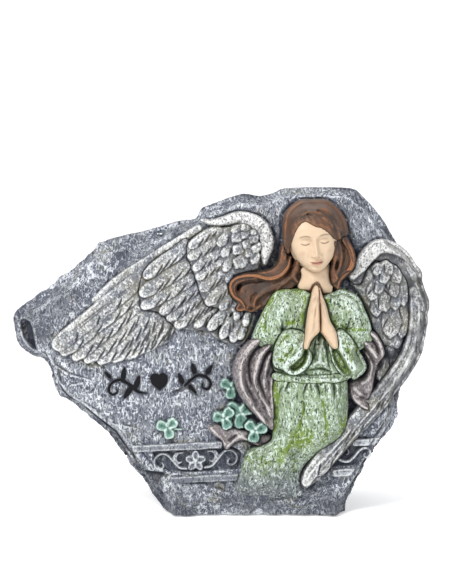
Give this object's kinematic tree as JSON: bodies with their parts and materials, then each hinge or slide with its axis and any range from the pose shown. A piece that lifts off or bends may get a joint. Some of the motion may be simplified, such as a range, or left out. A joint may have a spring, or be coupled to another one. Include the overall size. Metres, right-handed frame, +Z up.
{
  "type": "angel figurine planter",
  "caption": "Broken stone slab in cast resin with a kneeling, praying winged figure in high relief and an open planting pocket behind, with a drain plug.",
  "frame": {"origin": "middle of the object's box, at the level of the pads it stands on", "axes": "+Z up, front with the carved figure towards -Y, +X to the right as seen from the front"},
  "size_m": [0.254, 0.114, 0.1994],
  "materials": {
    "stone": "dry-brushed grey stone-look resin, pitted and speckled",
    "stone_trim": "raised trim, dry-brushed lighter",
    "wing": "bone grey over dark wash",
    "robe": "moss green with mint dry-brush and dark flecks",
    "mantle": "mauve grey with pale flecks",
    "hair": "brown with copper highlights, satin varnish",
    "skin": "flesh tint, satin varnish",
    "clover_green": "blue-green, pale edges",
    "black_enamel": "black enamel",
    "pad_rubber": "black rubber",
    "plug_rubber": "dark grey rubber"
  },
  "bodies": {
    "planter": {"bodice": "robe", "bumper_pads": "pad_rubber", "clover_back": "clover_green", "clover_front": "clover_green", "clover_left": "clover_green", "clover_single": "clover_green", "clover_upper": "clover_green", "engraving_inlay": "black_enamel", "frieze_lower_rail": "stone_trim", "frieze_rosette": "stone_trim", "frieze_scrolls": "stone_trim", "frieze_upper_rail": "stone_trim", "hair_crown": "hair", "hair_lock_left": "hair", "hair_lock_right": "hair", "hand_left": "skin", "hand_right": "skin", "head": "skin", "left_wing_arm": "wing", "left_wing_coverts": "wing", "left_wing_primaries": "wing", "left_wing_secondaries": "wing", "mantle_end": "mantle", "mantle_left": "mantle", "mantle_right": "mantle", "neck": "skin", "right_wing_coverts": "wing", "right_wing_primaries": "wing", "right_wing_secondaries": "wing", "rock_planter": "stone", "sash": "robe", "skirt": "robe", "sleeve_left": "robe", "sleeve_right": "robe"},
    "drain_plug": {"drain_plug": "plug_rubber"}
  },
  "joints": [
    {"name": "drain_plug_pull", "type": "slide", "parent": "planter", "child": "drain_plug", "axis": [0, 0, -1], "range_m": [0, 0.02]}
  ]
}
